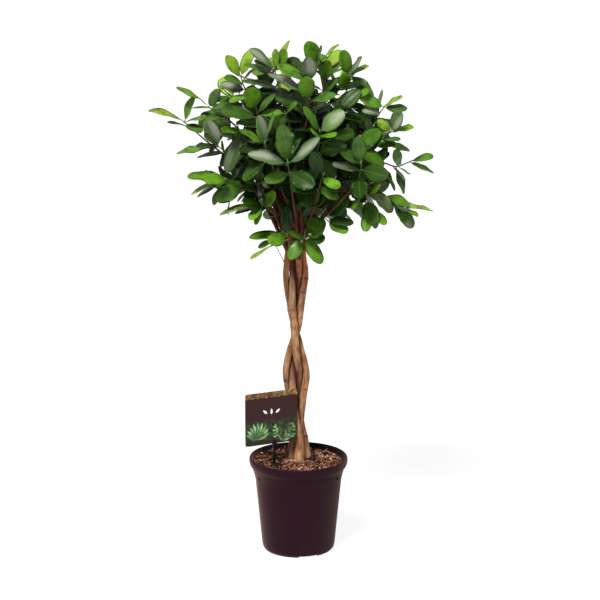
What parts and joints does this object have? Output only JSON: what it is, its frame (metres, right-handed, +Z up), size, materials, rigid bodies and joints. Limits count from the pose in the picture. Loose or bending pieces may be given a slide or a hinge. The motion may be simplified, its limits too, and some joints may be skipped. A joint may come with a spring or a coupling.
{
  "type": "potted indian laurel fig",
  "caption": "Laurel fig grown as a standard: stems braided into one trunk under a round head of glossy leaves, in a flared nursery pot with a care label.",
  "frame": {"origin": "middle of the pot's underside, on the flat boss at the pot's axis, level with the foot that it stands on", "axes": "+Z up along the pot's axis; -Y is the front, the side that the picture shows; +X is to the right as seen from the front"},
  "size_m": [0.4775, 0.3748, 0.8978],
  "materials": {
    "pot_plastic": "satin",
    "potting_mix": "matte",
    "bark": "matte",
    "leaf_green": "satin",
    "label_print": "satin",
    "stake_plastic": "satin"
  },
  "bodies": {
    "root": {"label_card": "label_print", "label_stake": "stake_plastic", "pot": "pot_plastic", "soil": "potting_mix", "spray_01": "leaf_green", "spray_02": "leaf_green", "spray_03": "leaf_green", "spray_04": "leaf_green", "spray_05": "leaf_green", "spray_06": "leaf_green", "spray_07": "leaf_green", "spray_08": "leaf_green", "spray_09": "leaf_green", "spray_10": "leaf_green", "spray_11": "leaf_green", "spray_12": "leaf_green", "spray_13": "leaf_green", "spray_14": "leaf_green", "spray_15": "leaf_green", "spray_16": "leaf_green", "spray_17": "leaf_green", "spray_18": "leaf_green", "spray_19": "leaf_green", "spray_20": "leaf_green", "spray_21": "leaf_green", "spray_22": "leaf_green", "spray_23": "leaf_green", "spray_24": "leaf_green", "spray_25": "leaf_green", "spray_26": "leaf_green", "spray_27": "leaf_green", "spray_28": "leaf_green", "spray_29": "leaf_green", "spray_30": "leaf_green", "spray_31": "leaf_green", "spray_32": "leaf_green", "spray_33": "leaf_green", "spray_34": "leaf_green", "spray_35": "leaf_green", "spray_36": "leaf_green", "spray_37": "leaf_green", "spray_38": "leaf_green", "spray_39": "leaf_green", "spray_40": "leaf_green", "spray_41": "leaf_green", "spray_42": "leaf_green", "spray_43": "leaf_green", "stem_1": "bark", "stem_2": "bark", "stem_3": "bark", "stem_4": "bark"}
  },
  "joints": []
}
